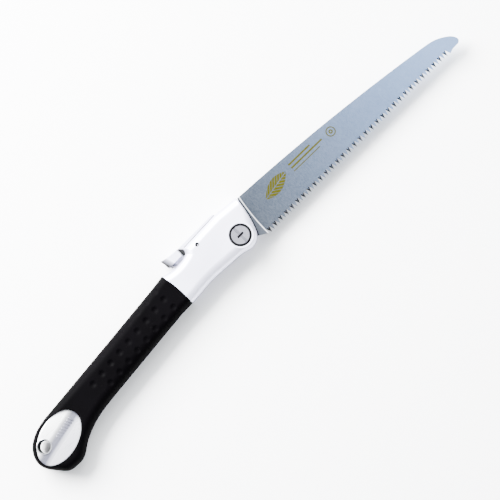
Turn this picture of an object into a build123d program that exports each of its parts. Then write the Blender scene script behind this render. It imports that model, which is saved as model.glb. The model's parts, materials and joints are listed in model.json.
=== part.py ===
from build123d import *
import os
from math import cos, hypot, radians, sin

# A folding pruning saw, lying open on its left side: +X to the blade's tip, +Y to its back, +Z up.
# Outlines are given from the pivot axis, in planes parallel to the blade. Millimetres.
PIVOT_X = 4.88
PIVOT_Y = 1.5
MID_Z = 10.5  # the blade's middle plane above the surface that the saw lies on

# Blade
BLADE_THICKNESS = 1.3
TOOTH_COUNT = 64
TOOTH_PITCH = 3.125
TOOTH_HEIGHT = 4.6
FIRST_ROOT_X = 17.5
TIP_LINE_Y = -14.7  # the tooth tips lie on a line that drops slowly towards the blade's tip
TIP_LINE_SLOPE = -0.0131
TANG_RADIUS = 12.5
HEEL_CORNER = (16.3, -13.6)
HEEL_ANGLE = -46.0  # where the heel's lower edge meets the tang circle
SHOULDER_ANGLE = 66.0
SHOULDER_Y = 17.2
FOLD_ANGLE = 172.0

# Pivot
BUSH_RADIUS = 5.0
BOLT_RADIUS = 3.5
RUNNING_FIT = 0.05
HEAD_RADIUS = 7.6
HEAD_TOP = 10.0
HEAD_SLOT = 2.2
HEAD_SLOT_DEPTH = 1.1
CROSS_LENGTH = 6.0
CROSS_WIDTH = 1.8
CROSS_DEPTH = 1.8
SEAT_HEIGHT = 7.1  # floor of the counterbore above the middle plane
COUNTERBORE_RADIUS = 8.8
RING_RADIUS = 10.4
RING_TOP = 10.2
WASHER_RADIUS = 8.4
WASHER_THICKNESS = 0.75
LOCK_WASHER_THICKNESS = 0.6
NUT_FLATS = 13.0
NUT_TOP = 9.9

# Frame halves
GAP_HALF = 1.5  # each half stands this far from the middle plane beside the blade
CHEEK_TOP = 9.7
CHEEK_FILLET = 7.0
FRONT_FILLET = 1.2
TANG_TOP = 5.6
POCKET_TOP = 3.8
HEAD_POCKET_TOP = 6.6
POCKET_X = (-95.0, -131.0, -167.0)
RIVET_X = (-77.0, -113.0, -149.0, -185.0)
RIVET_RADIUS = 2.2

# Rubber grip
GRIP_FRONT_X = -63.4
GRIP_CROWN = ((-48, 9.8), (-115, 10.5), (-245, 7.7))  # side view of its outer face: x and height
GRIP_FILLET = 5.5
GRIP_SLOT_HALF = 1.9

# Oval butt plates and the lanyard tube that holds them
OVAL_CENTRE = (-211.5, -8.7)
OVAL_RADII = (23.8, 15.3)
OVAL_TILT = 15.0
OVAL_TOP = 8.6
OVAL_DOME = 150.0
LANYARD_CENTRE = (-224.5, -5.3)
LANYARD_BORE = 5.2
TUBE_RADIUS = 5.9
RIM_RADIUS = 6.15
RIM_SEAT = 7.7
RIM_TOP = 8.3

# Lock lever
PIN_CENTRE = (-28.9, 19.2)
PIN_RADIUS = 1.75
PIN_HALF_LENGTH = 8.9
LEVER_HALF = 4.2
PAD_HALF = 8.0
BAY_HALF = 4.7  # half width of the lever's bay between the halves
NOSE_X = -4.6
NOSE_WIDTH = 3.4
NOSE_END_Y = 12.35  # at rest the nose is just clear of the tang circle
NOTCH_X = -4.95
NOTCH_WIDTH = 4.3
NOTCH_FLOOR_Y = 10.6
SPRING_X = -46.0
SPRING_SEAT_Y = 13.0
SPRING_TOP_Y = 19.2
SPRING_RADIUS = 2.3
SPRING_WIRE = 0.45
SPRING_TURNS = 4
STOP_RADIUS = 2.0
STOP_HALF_LENGTH = 4.0
STOP_GAP = 0.03


def level(height=0.0, angle=0.0):
    """Plane parallel to the blade at a height over its middle plane, turned about the pivot axis."""
    return Plane((PIVOT_X, PIVOT_Y, MID_Z + height)).rotated((0, 0, angle))


def turned(point, angle):
    """A point turned about the pivot axis by an angle in degrees."""
    x, y = point
    turn = radians(angle)
    return x * cos(turn) - y * sin(turn), x * sin(turn) + y * cos(turn)


def finish(part, name):
    """Names a finished piece and writes it."""
    part.label = name
    export_step(part, f"parts/{name}.step")


os.makedirs("parts", exist_ok=True)

# ---- Shared outlines, in the blade's plane ----

with BuildSketch() as behind_grip_front:
    with BuildLine():
        front_edge = ThreePointArc((-67.2, 27), (GRIP_FRONT_X, -1), (-67.2, -29))
        Polyline(front_edge @ 1, (-67.2, -50), (-260, -50), (-260, 27), front_edge @ 0)
    make_face()

with BuildSketch() as grip_outline:
    with BuildLine():
        grip_back = ThreePointArc((-50, 23.5), (-130, 16.8), (-206, 10.9))
        butt = Spline(
            grip_back @ 1, (-222, 7.8), (-234.6, -1.2), (-237.6, -14), (-229, -27.3), (-214, -33.4),
            tangents=(grip_back % 1, (1, 0)),
        )
        beak = Spline(butt @ 1, (-201, -27.8), (-180, -19.1), (-152, -15.6), tangents=((1, 0), (1, 0.09)))
        Polyline(beak @ 1, (-76, -9.3), (-50, -9.3), grip_back @ 0)
    make_face()

with BuildSketch() as tang_outline:
    with BuildLine():
        tang_back = ThreePointArc((-55, 19.9), (-130, 13.8), (-205, 7.9))
        tang_butt = Spline(
            tang_back @ 1, (-221, 4.9), (-231.6, -2.9), (-234.5, -13.5), (-226.8, -25), (-214, -30.3),
            tangents=(tang_back % 1, (1, 0)),
        )
        tang_beak = Spline(
            tang_butt @ 1, (-202, -25), (-180, -16), (-152, -12.5),
            tangents=((1, 0), (1, 0.09)),
        )
        Polyline(tang_beak @ 1, (-76, -6.3), (-55, -6.3), tang_back @ 0)
    make_face()

with BuildSketch() as head_outline:
    with BuildLine():
        head_front = ThreePointArc((18.2, 23.8), (15.7, 8.3), (10.4, -7.0))
        boss = ThreePointArc(head_front @ 1, (0, -12.55), (-4.5, -11.7))
        belly = Spline(boss @ 1, (-20, -9.4), (-42, -8.1), (-63, -9.2), tangents=(boss % 1, (-1, 0)))
        Polyline(belly @ 1, (-75, -9.2), (-75, 22.9), (-66.4, 22.4))
        scoop = ThreePointArc((-66.4, 22.4), (-53, 19.6), (-40.8, 21.2))
        Polyline(scoop @ 1, (-38.2, 25.3), (-3, 26.2), head_front @ 0)
    make_face()

with BuildSketch() as blade_space:
    with BuildLine():
        Polyline(
            (-226, -40), (30, -40), (30, 26), (17.4, 26), (16.7, 21.4), (-2.5, 21.4), (-10, 14.8),
            (-18, 13.6), (-200.5, -9.0), (-218.4, -11.5),
        )
        slot_end = ThreePointArc((-218.4, -11.5), (-226.6, -14.2), (-229.1, -17.4))
        Polyline(slot_end @ 1, (-228.4, -24), (-226, -40))
    make_face()

with BuildSketch() as oval:
    with Locations(OVAL_CENTRE):
        Ellipse(*OVAL_RADII, rotation=OVAL_TILT)

# ---- Blade: teeth, tang circle with its open and folded notches, and the stop shoulder ----

tooth_line = []
for tooth in range(TOOTH_COUNT):
    root_x = FIRST_ROOT_X + TOOTH_PITCH * tooth
    tip_x = root_x + TOOTH_PITCH / 2
    tooth_line.append((root_x, TIP_LINE_Y + TIP_LINE_SLOPE * root_x + TOOTH_HEIGHT))
    tooth_line.append((tip_x, TIP_LINE_Y + TIP_LINE_SLOPE * tip_x))
heel_start = turned((TANG_RADIUS, 0), HEEL_ANGLE)
shoulder_start = turned((TANG_RADIUS, 0), SHOULDER_ANGLE)

with BuildPart() as blade:
    with BuildSketch(level()):
        with BuildLine():
            Polyline(heel_start, HEEL_CORNER, *tooth_line, (219.6, -16.4), (224.5, -16.3))
            ThreePointArc((224.5, -16.3), (227.5, -15.3), (228.1, -12.9))
            point = Spline(
                (228.1, -12.9), (221.6, -5.2), (213.6, -1.1), (205, 0.9),
                tangents=((-0.3, 1), (-1, 0.18)),
            )
            blade_back = ThreePointArc(point @ 1, (110, 14.6), (20.3, 22.9))
            Polyline(blade_back @ 1, (18.7, 23.05), (16.4, SHOULDER_Y), (8, SHOULDER_Y), shoulder_start)
            ThreePointArc(shoulder_start, (-TANG_RADIUS, 0), heel_start)
        make_face()
        Circle(BUSH_RADIUS + RUNNING_FIT, mode=Mode.SUBTRACT)
    extrude(amount=BLADE_THICKNESS / 2, both=True)
    for notch_angle in (0, FOLD_ANGLE):
        with BuildSketch(level(0, notch_angle)):
            with Locations((NOTCH_X, NOTCH_FLOOR_Y)):
                Rectangle(NOTCH_WIDTH, 5, align=(Align.CENTER, Align.MIN))
        extrude(amount=BLADE_THICKNESS, both=True, mode=Mode.SUBTRACT)
finish(blade.part, "blade")

# ---- Stop pins: the shoulder rests on one when open, the heel's lower edge on the other when folded ----

heel_run = (HEEL_CORNER[0] - heel_start[0], HEEL_CORNER[1] - heel_start[1])
heel_reach = (STOP_RADIUS + STOP_GAP) / hypot(*heel_run)
beside_heel = (
    (heel_start[0] + HEEL_CORNER[0]) / 2 + heel_run[1] * heel_reach,
    (heel_start[1] + HEEL_CORNER[1]) / 2 - heel_run[0] * heel_reach,
)
stop_centres = {
    "open_stop_pin": (12.0, SHOULDER_Y + STOP_RADIUS + STOP_GAP),
    "folded_stop_pin": turned(beside_heel, -FOLD_ANGLE),
}
for stop_name, stop_centre in stop_centres.items():
    with BuildPart() as stop_pin:
        with BuildSketch(level(-STOP_HALF_LENGTH)):
            with Locations(stop_centre):
                Circle(STOP_RADIUS)
        extrude(amount=2 * STOP_HALF_LENGTH)
        chamfer(stop_pin.edges().filter_by(GeomType.CIRCLE), 0.4)
    finish(stop_pin.part, stop_name)

# ---- Frame halves: a bare head and a tang under the grip, cored, with a bay for the lever ----

with BuildPart() as frame_right:
    with BuildSketch(level()):
        add(head_outline.sketch)
    extrude(amount=CHEEK_TOP)
    cheek_edges = frame_right.faces().sort_by(Axis.Z)[-1].edges().sort_by(Axis.X)
    fillet(cheek_edges[:-1], CHEEK_FILLET)
    fillet(frame_right.faces().sort_by(Axis.X)[-1].edges().sort_by(Axis.Z)[-1], FRONT_FILLET)
    with BuildSketch(level()):
        add(behind_grip_front.sketch)
    extrude(amount=14, mode=Mode.SUBTRACT)
    with BuildSketch(level()):
        add(tang_outline.sketch)
    extrude(amount=TANG_TOP)
    with BuildSketch(level()):
        Circle(RING_RADIUS)
    extrude(amount=RING_TOP)
    with BuildSketch(level(SEAT_HEIGHT)):
        Circle(COUNTERBORE_RADIUS)
    extrude(amount=8, mode=Mode.SUBTRACT)
    with BuildSketch(level()):
        add(blade_space.sketch)
    extrude(amount=GAP_HALF, mode=Mode.SUBTRACT)
    # Lever's bay: shallow over the stop pin, deep at the nose, with a pocket for the spring
    with BuildSketch(level()):
        with BuildLine():
            Polyline(
                (-2.5, 40), (-2.5, 10.3), (-8.3, 10.3), (-8.3, 15.3),
                (-40, 15.3), (-58.6, 17.2), (-58.6, 40), (-2.5, 40),
            )
        make_face()
    extrude(amount=BAY_HALF, mode=Mode.SUBTRACT)
    with BuildSketch(level()):
        with Locations((SPRING_X, SPRING_SEAT_Y)):
            Rectangle(6.4, 8, align=(Align.CENTER, Align.MIN))
    extrude(amount=SPRING_RADIUS + SPRING_WIRE + 0.4, mode=Mode.SUBTRACT)
    # Coring pockets in the head and along the tang, and the holes
    with BuildSketch(level()):
        with BuildLine():
            Polyline((-19, 12.6), (-19, -4.5), (-59, -3.5), (-59, 7.8), (-19, 12.6))
        make_face()
    extrude(amount=HEAD_POCKET_TOP, mode=Mode.SUBTRACT)
    with BuildSketch(level()):
        for pocket_x in POCKET_X:
            with Locations((pocket_x, 0.9 + (pocket_x + 131) * 0.095)):
                SlotOverall(27, 17, rotation=5.5)
    extrude(amount=POCKET_TOP, mode=Mode.SUBTRACT)
    with BuildSketch(level()):
        Circle(BOLT_RADIUS + RUNNING_FIT)
        with Locations(PIN_CENTRE):
            Circle(PIN_RADIUS + 0.01)
        with Locations(LANYARD_CENTRE):
            Circle(TUBE_RADIUS + 0.01)
        for rivet_x in RIVET_X:
            with Locations((rivet_x, 12.6 + (rivet_x + 77) * 0.094)):
                Circle(RIVET_RADIUS + 0.01)
    extrude(amount=14, mode=Mode.SUBTRACT)
    with BuildSketch(level()):
        for stop_centre in stop_centres.values():
            with Locations(stop_centre):
                Circle(STOP_RADIUS + 0.01)
    extrude(amount=STOP_HALF_LENGTH + 0.2, mode=Mode.SUBTRACT)
finish(frame_right.part, "frame_right")

with BuildPart() as frame_left:
    mirror(frame_right.part, about=level())
finish(frame_left.part, "frame_left")

with BuildPart() as frame_rivets:
    with BuildSketch(level(-TANG_TOP)):
        for rivet_x in RIVET_X:
            with Locations((rivet_x, 12.6 + (rivet_x + 77) * 0.094)):
                Circle(RIVET_RADIUS)
    extrude(amount=2 * TANG_TOP)
    chamfer(frame_rivets.edges().filter_by(GeomType.CIRCLE), 0.3)
finish(frame_rivets.part, "frame_rivets")

# ---- Rubber grip: a sleeve over the tang, slotted along the belly, with a window for each oval ----

with BuildPart() as grip_sleeve:
    with BuildSketch(level()):
        add(grip_outline.sketch)
    extrude(amount=14)
    with BuildSketch(Plane((PIVOT_X, PIVOT_Y, MID_Z), x_dir=(1, 0, 0), z_dir=(0, -1, 0))):
        with BuildLine():
            crown = ThreePointArc(*GRIP_CROWN)
            Polyline(crown @ 1, (-245, 0), (-48, 0), crown @ 0)
        make_face()
    extrude(amount=60, both=True, mode=Mode.INTERSECT)
    fillet(grip_sleeve.faces().sort_by(Axis.Z)[-1].edges(), GRIP_FILLET)
    with BuildSketch(level()):
        add(behind_grip_front.sketch)
    extrude(amount=14, mode=Mode.INTERSECT)
    with BuildSketch(level()):
        add(tang_outline.sketch)
    extrude(amount=TANG_TOP, mode=Mode.SUBTRACT)
    with BuildSketch(level()):
        add(oval.sketch)
    extrude(amount=14, mode=Mode.SUBTRACT)
    with BuildSketch(level()):
        add(blade_space.sketch)
    extrude(amount=GRIP_SLOT_HALF, mode=Mode.SUBTRACT)
    mirror(about=level())
finish(grip_sleeve.part, "grip_sleeve")

# ---- Butt: an oval plate on each side, held by the lanyard tube ----

with BuildPart() as butt_plate_right:
    with BuildSketch(level(TANG_TOP)):
        add(oval.sketch)
        with Locations(LANYARD_CENTRE):
            Circle(TUBE_RADIUS + 0.01, mode=Mode.SUBTRACT)
    extrude(amount=6)
    with Locations(level(OVAL_TOP - OVAL_DOME) * Location((*OVAL_CENTRE, 0))):
        Sphere(OVAL_DOME, mode=Mode.INTERSECT)
    with BuildSketch(level(RIM_SEAT)):
        with Locations(LANYARD_CENTRE):
            Circle(RIM_RADIUS + 0.05)
    extrude(amount=4, mode=Mode.SUBTRACT)
finish(butt_plate_right.part, "butt_plate_right")

with BuildPart() as butt_plate_left:
    mirror(butt_plate_right.part, about=level())
finish(butt_plate_left.part, "butt_plate_left")

with BuildPart() as lanyard_tube:
    with BuildSketch(level(-RIM_SEAT)):
        with Locations(LANYARD_CENTRE):
            Circle(TUBE_RADIUS)
    extrude(amount=2 * RIM_SEAT)
    for rim_plane in (level(RIM_SEAT), level(-RIM_TOP)):
        with BuildSketch(rim_plane):
            with Locations(LANYARD_CENTRE):
                Circle(RIM_RADIUS)
        extrude(amount=RIM_TOP - RIM_SEAT)
    with BuildSketch(level(-RIM_TOP)):
        with Locations(LANYARD_CENTRE):
            Circle(LANYARD_BORE)
    extrude(amount=2 * RIM_TOP, mode=Mode.SUBTRACT)
    rims = lanyard_tube.faces().filter_by(Axis.Z).sort_by(Axis.Z)
    fillet([*rims[0].edges(), *rims[-1].edges()], 0.3)
finish(lanyard_tube.part, "lanyard_tube")

# ---- Pivot: bolt, bush, two washers, nut and its lock washer ----

with BuildPart() as pivot_bush:
    with BuildSketch(level(-GAP_HALF)):
        Circle(BUSH_RADIUS)
        Circle(BOLT_RADIUS + RUNNING_FIT, mode=Mode.SUBTRACT)
    extrude(amount=2 * GAP_HALF)
finish(pivot_bush.part, "pivot_bush")

washer_heights = {"pivot_washer_right": GAP_HALF - WASHER_THICKNESS, "pivot_washer_left": -GAP_HALF}
for washer_name, washer_height in washer_heights.items():
    with BuildPart() as pivot_washer:
        with BuildSketch(level(washer_height)):
            Circle(WASHER_RADIUS)
            Circle(BUSH_RADIUS + RUNNING_FIT, mode=Mode.SUBTRACT)
        extrude(amount=WASHER_THICKNESS)
    finish(pivot_washer.part, washer_name)

with BuildPart() as pivot_bolt:
    with BuildSketch(level(-NUT_TOP)):
        Circle(BOLT_RADIUS)
    extrude(amount=NUT_TOP + SEAT_HEIGHT)
    with BuildSketch(level(SEAT_HEIGHT)):
        Circle(HEAD_RADIUS)
    extrude(amount=HEAD_TOP - SEAT_HEIGHT)
    fillet(pivot_bolt.edges().group_by(Axis.Z)[-1], 0.5)
    with BuildSketch(level(HEAD_TOP - HEAD_SLOT_DEPTH)):
        Rectangle(HEAD_SLOT, 3 * HEAD_RADIUS)
    extrude(amount=2, mode=Mode.SUBTRACT)
    with BuildSketch(level(HEAD_TOP - CROSS_DEPTH)):
        Rectangle(CROSS_LENGTH, CROSS_WIDTH)
    extrude(amount=3, mode=Mode.SUBTRACT)
    chamfer(pivot_bolt.edges().group_by(Axis.Z)[0], 0.4)
finish(pivot_bolt.part, "pivot_bolt")

with BuildPart() as nut_lock_washer:
    with BuildSketch(level(-SEAT_HEIGHT - LOCK_WASHER_THICKNESS)):
        Circle(HEAD_RADIUS)
        Circle(BOLT_RADIUS + RUNNING_FIT, mode=Mode.SUBTRACT)
    extrude(amount=LOCK_WASHER_THICKNESS)
finish(nut_lock_washer.part, "nut_lock_washer")

with BuildPart() as pivot_nut:
    with BuildSketch(level(-NUT_TOP)):
        RegularPolygon(NUT_FLATS / 2, 6, major_radius=False)
        Circle(BOLT_RADIUS + RUNNING_FIT, mode=Mode.SUBTRACT)
    extrude(amount=NUT_TOP - SEAT_HEIGHT - LOCK_WASHER_THICKNESS)
finish(pivot_nut.part, "pivot_nut")

# ---- Lock lever with its nose, thumb pad, pin and spring ----

with BuildPart() as lock_lever:
    with BuildSketch(level(-LEVER_HALF)):
        with BuildLine():
            Polyline(
                (-3.3, 27.2), (-5.8, 27.8), (-40, 28.1), (-57.8, 27), (-57.8, 23.6), (-50.4, SPRING_TOP_Y),
                (-42, SPRING_TOP_Y), (-34, 16.6),
            )
            Polyline((-25, 16.8), (-19, 18.2), (-6.4, 18.2), (-6.4, 13.6))
            ThreePointArc((-34, 16.6), (PIN_CENTRE[0] - 0.3, 15.9), (-25, 16.8))
            Polyline((-6.4, 13.6), (-3.3, 13.6), (-3.3, 27.2))
        make_face()
        with Locations((NOSE_X, NOSE_END_Y)):
            Rectangle(NOSE_WIDTH, 4, align=(Align.CENTER, Align.MIN))
        with Locations(PIN_CENTRE):
            Circle(PIN_RADIUS + RUNNING_FIT, mode=Mode.SUBTRACT)
    extrude(amount=2 * LEVER_HALF)
    with BuildSketch(level(-PAD_HALF)):
        with BuildLine():
            pad_top = ThreePointArc((-42.6, 27.9), (-50, 28.4), (-58.4, 30.4))
            pad_rear = ThreePointArc(pad_top @ 1, (-57.6, 26), (-56, 22))
            Polyline(pad_rear @ 1, (-43.6, 22), (-42.2, 24.5), pad_top @ 0)
        make_face()
    extrude(amount=2 * PAD_HALF)
finish(lock_lever.part, "lock_lever")

with BuildPart() as lever_pin:
    with BuildSketch(level(-PIN_HALF_LENGTH)):
        with Locations(PIN_CENTRE):
            Circle(PIN_RADIUS)
            Circle(PIN_RADIUS - 0.6, mode=Mode.SUBTRACT)
        with Locations((PIN_CENTRE[0], PIN_CENTRE[1] + PIN_RADIUS)):
            Rectangle(0.5, 2, mode=Mode.SUBTRACT)
    extrude(amount=2 * PIN_HALF_LENGTH)
finish(lever_pin.part, "lever_pin")

spring_length = SPRING_TOP_Y - SPRING_SEAT_Y - 2 * SPRING_WIRE
with BuildPart() as lever_spring:
    with BuildLine():
        coil = Helix(
            spring_length / SPRING_TURNS, spring_length, SPRING_RADIUS,
            center=(PIVOT_X + SPRING_X, PIVOT_Y + SPRING_SEAT_Y + SPRING_WIRE, MID_Z), direction=(0, 1, 0),
        )
    with BuildSketch(Plane(coil @ 0, z_dir=coil % 0)):
        Circle(SPRING_WIRE)
    sweep(path=coil, is_frenet=True)
finish(lever_spring.part, "lever_spring")
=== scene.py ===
import json
import math

import bmesh
import bpy
import numpy as np
from mathutils import Matrix, Vector


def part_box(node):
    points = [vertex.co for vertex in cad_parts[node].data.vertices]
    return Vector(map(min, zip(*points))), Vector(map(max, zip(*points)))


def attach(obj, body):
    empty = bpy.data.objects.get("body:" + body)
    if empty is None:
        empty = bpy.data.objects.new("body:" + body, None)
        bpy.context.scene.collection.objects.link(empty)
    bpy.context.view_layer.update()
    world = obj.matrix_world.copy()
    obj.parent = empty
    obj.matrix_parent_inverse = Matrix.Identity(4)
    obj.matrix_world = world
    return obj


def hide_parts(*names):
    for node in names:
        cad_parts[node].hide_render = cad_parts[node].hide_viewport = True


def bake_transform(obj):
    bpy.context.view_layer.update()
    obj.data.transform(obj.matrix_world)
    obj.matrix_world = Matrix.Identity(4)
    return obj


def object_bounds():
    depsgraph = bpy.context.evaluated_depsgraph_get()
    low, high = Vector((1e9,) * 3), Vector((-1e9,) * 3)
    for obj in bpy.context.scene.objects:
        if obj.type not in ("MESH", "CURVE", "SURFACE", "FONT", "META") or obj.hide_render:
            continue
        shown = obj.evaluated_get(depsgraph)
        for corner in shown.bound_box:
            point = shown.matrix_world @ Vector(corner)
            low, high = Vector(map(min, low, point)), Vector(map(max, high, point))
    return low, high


bl_info = {
    "name": "Folding pruning saw",
    "version": (1, 0, 0),
    "blender": (4, 5, 0),
    "location": "3D View > Sidebar > Saw",
    "description": "Builds the visible pieces and finishes of a folding pruning saw around its frame",
    "category": "Object",
}

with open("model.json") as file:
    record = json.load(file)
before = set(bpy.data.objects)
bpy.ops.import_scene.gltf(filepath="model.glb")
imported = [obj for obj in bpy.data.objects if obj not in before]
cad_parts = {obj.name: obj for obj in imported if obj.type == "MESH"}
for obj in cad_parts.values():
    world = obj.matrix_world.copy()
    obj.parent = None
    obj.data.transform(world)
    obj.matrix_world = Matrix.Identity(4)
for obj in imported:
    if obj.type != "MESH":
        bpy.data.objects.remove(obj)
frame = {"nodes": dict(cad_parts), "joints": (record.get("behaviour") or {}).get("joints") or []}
CAD_BOUNDS = [list(corner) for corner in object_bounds()]

MM = 0.001
PIVOT = Vector(next(joint["pos_m"] for joint in frame["joints"] if joint["name"] == "blade_fold"))
GRIP_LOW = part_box("grip_sleeve")[0]
TUBE_LOW, TUBE_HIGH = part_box("lanyard_tube")
LANYARD = (TUBE_LOW + TUBE_HIGH) / 2
HEAD_FACE = (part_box("pivot_bolt")[1].z - PIVOT.z) / MM  # the bolt's face above the blade's middle plane
TUBE_BORE = 5.2 * MM
COUNTERBORE = 8.8
STEP_ARC = ((20.0, 20.9), (17.5, 5.0), (16.4, -13.0))  # the ground step on the blade
HEAD_FRONT_ARC = ((18.2, 23.8), (15.7, 8.3), (10.4, -7.0))  # the head's front edge
LIP_START = (-38.2, 25.0)  # the lip of the head along the lever
LIP_END = (-3.0, 25.9)


# ---------------------------------------------------------------- measures from the frame


def from_pivot(x, y, z=0.0):
    """A point given in millimetres from the pivot axis and the blade's middle plane."""
    return PIVOT + Vector((x, y, z)) * MM


def cad_edges(node, stations):
    """Lowest and highest Y of a CAD node on each plane across X, in metres."""
    mesh = frame["nodes"][node].data
    points = np.array([vertex.co for vertex in mesh.vertices])
    edges = np.array([edge.vertices[:] for edge in mesh.edges])
    start, end = points[edges[:, 0]], points[edges[:, 1]]
    found = []
    for x in stations:
        crossing = (start[:, 0] - x) * (end[:, 0] - x) < 0
        a, b = start[crossing], end[crossing]
        y = a[:, 1] + (x - a[:, 0]) / (b[:, 0] - a[:, 0]) * (b[:, 1] - a[:, 1])
        found.append((y.min(), y.max()))
    return np.array(found)


def distance_to_outline(points, outline):
    """Distance in plan from each point to a closed outline."""
    ends = np.roll(outline, -1, axis=0)
    runs = ends - outline
    lengths = np.maximum((runs**2).sum(1), 1e-18)
    nearest = np.full(len(points), np.inf)
    for origin, run, length in zip(outline, runs, lengths):
        along = np.clip(((points - origin) @ run) / length, 0, 1)
        gap = points - origin - along[:, None] * run
        nearest = np.minimum(nearest, np.hypot(gap[:, 0], gap[:, 1]))
    return nearest


# ---------------------------------------------------------------- mesh helpers


def finish_piece(name, mesh, material, body, stands_for=(), smooth_angle=None):
    """Gives a mesh its material, shading and body, and hides the CAD parts that it stands for."""
    if material is not None:
        mesh.materials.clear()
        mesh.materials.append(material)
    if smooth_angle is not None:
        mesh.shade_smooth()
        mesh.set_sharp_from_angle(angle=math.radians(smooth_angle))
    piece = bpy.data.objects.new(name, mesh)
    bpy.context.scene.collection.objects.link(piece)
    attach(piece, body)
    if stands_for:
        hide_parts(*stands_for)
    return piece


def prism(bm, outline, low, high):
    """Adds a closed prism over a plan outline between two heights, in metres."""
    floor = [bm.verts.new((x, y, low)) for x, y in outline]
    roof = [bm.verts.new((x, y, high)) for x, y in outline]
    bm.faces.new(floor[::-1])
    bm.faces.new(roof)
    for here in range(len(outline)):
        after = (here + 1) % len(outline)
        bm.faces.new((floor[here], floor[after], roof[after], roof[here]))


def ladder_solid(bm, low_points, high_points):
    """Adds a closed solid between two matching grids of points, low and high."""
    rows, columns = low_points.shape[:2]
    floor = [[bm.verts.new(low_points[r, c]) for c in range(columns)] for r in range(rows)]
    roof = [[bm.verts.new(high_points[r, c]) for c in range(columns)] for r in range(rows)]
    for r in range(rows - 1):
        for c in range(columns - 1):
            bm.faces.new((roof[r][c], roof[r][c + 1], roof[r + 1][c + 1], roof[r + 1][c]))
            bm.faces.new((floor[r][c], floor[r + 1][c], floor[r + 1][c + 1], floor[r][c + 1]))
    for r, step in ((0, 1), (rows - 1, -1)):
        for c in range(columns - 1):
            ring = (floor[r][c], floor[r][c + 1], roof[r][c + 1], roof[r][c])
            bm.faces.new(ring[::step])
    for c, step in ((0, -1), (columns - 1, 1)):
        for r in range(rows - 1):
            ring = (floor[r][c], floor[r + 1][c], roof[r + 1][c], roof[r][c])
            bm.faces.new(ring[::step])


def object_from(bm, name):
    """A plain scene object from a bmesh with its doubles merged and its faces turned outwards."""
    bmesh.ops.remove_doubles(bm, verts=bm.verts, dist=1e-7)
    bmesh.ops.recalc_face_normals(bm, faces=bm.faces)
    if bm.calc_volume(signed=True) < 0:
        bmesh.ops.reverse_faces(bm, faces=bm.faces)
    mesh = bpy.data.meshes.new(name)
    bm.to_mesh(mesh)
    bm.free()
    made = bpy.data.objects.new(name, mesh)
    bpy.context.scene.collection.objects.link(made)
    return made


def evaluated_mesh(host):
    """The host's mesh with its modifiers applied; the host itself is removed."""
    depsgraph = bpy.context.evaluated_depsgraph_get()
    depsgraph.update()
    mesh = bpy.data.meshes.new_from_object(host.evaluated_get(depsgraph))
    bpy.data.objects.remove(host)
    return mesh


def cut(host, cutter):
    """Takes the cutter's volume away from the host and returns the host."""
    modifier = host.modifiers.new("cut", "BOOLEAN")
    modifier.operation = "DIFFERENCE"
    modifier.solver = "EXACT"
    modifier.object = cutter
    name = host.name
    mesh = evaluated_mesh(host)
    bpy.data.objects.remove(cutter)
    made = bpy.data.objects.new(name, mesh)
    bpy.context.scene.collection.objects.link(made)
    return made


def cut_prism(host, outline, low, high):
    """Takes an upright prism away, between two heights in millimetres from the middle plane."""
    bm = bmesh.new()
    prism(bm, outline, PIVOT.z + low * MM, PIVOT.z + high * MM)
    return cut(host, object_from(bm, "cutter"))


def mesh_of(made):
    """A plain object's mesh; the object itself is removed."""
    mesh = made.data.copy()
    bpy.data.objects.remove(made)
    return mesh


def cad_copy(node, name):
    """A free copy of a CAD node's mesh with its doubles merged."""
    bm = bmesh.new()
    bm.from_mesh(frame["nodes"][node].data)
    return object_from(bm, name)


# ---------------------------------------------------------------- node helpers


class Net:
    """Short calls for adding and joining nodes in one tree."""

    def __init__(self, tree):
        self.tree = tree

    def node(self, kind, *values, **settings):
        """A node with its first inputs filled and its settings set."""
        made = self.tree.nodes.new(kind)
        for key, value in settings.items():
            setattr(made, key, value)
        for socket, value in zip(made.inputs, values):
            if value is not None:
                self.put(socket, value)
        return made

    def put(self, socket, value):
        """Joins or sets one socket."""
        if isinstance(value, bpy.types.NodeSocket):
            self.tree.links.new(value, socket)
        else:
            socket.default_value = value

    def math(self, operation, *values):
        """One step of arithmetic."""
        return self.node("ShaderNodeMath", *values, operation=operation).outputs[0]

    def times(self, first, second):
        """A product."""
        return self.math("MULTIPLY", first, second)

    def plus(self, first, second):
        """A sum."""
        return self.math("ADD", first, second)

    def less(self, first, second):
        """A difference."""
        return self.math("SUBTRACT", first, second)

    def size(self, value):
        """A value without its sign."""
        return self.math("ABSOLUTE", value)

    def most(self, first, second):
        """The larger of two masks."""
        return self.math("MAXIMUM", first, second)

    def distance(self, x, y):
        """Length of a line with these two legs."""
        return self.math("SQRT", self.plus(self.times(x, x), self.times(y, y)))

    def mix(self, factor, first, second):
        """A colour between two others."""
        made = self.tree.nodes.new("ShaderNodeMix")
        made.data_type = "RGBA"
        for index, value in ((0, factor), (6, first), (7, second)):
            self.put(made.inputs[index], value)
        return made.outputs[2]

    def spread(self, value, low, high, to_low=0.0, to_high=1.0):
        """A value carried from one range to another and held inside it."""
        return self.node("ShaderNodeMapRange", value, low, high, to_low, to_high).outputs[0]

    def group(self, tree, **values):
        """A shader group with its named inputs set."""
        made = self.tree.nodes.new("ShaderNodeGroup")
        made.node_tree = tree
        for key, value in values.items():
            self.put(made.inputs[key.replace("_", " ")], value)
        return made.outputs


def start_group(name, inputs, outputs):
    """An empty shader group with named inputs and outputs; the Place input is always there."""
    tree = bpy.data.node_groups.new(name, "ShaderNodeTree")
    tree.interface.new_socket("Place", in_out="INPUT", socket_type="NodeSocketVector")
    for socket_name, default in inputs.items():
        socket = tree.interface.new_socket(socket_name, in_out="INPUT", socket_type="NodeSocketFloat")
        socket.default_value = default
    for socket_name in outputs:
        tree.interface.new_socket(socket_name, in_out="OUTPUT", socket_type="NodeSocketFloat")
    net = Net(tree)
    return tree, net, net.node("NodeGroupInput").outputs, net.node("NodeGroupOutput").inputs


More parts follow.
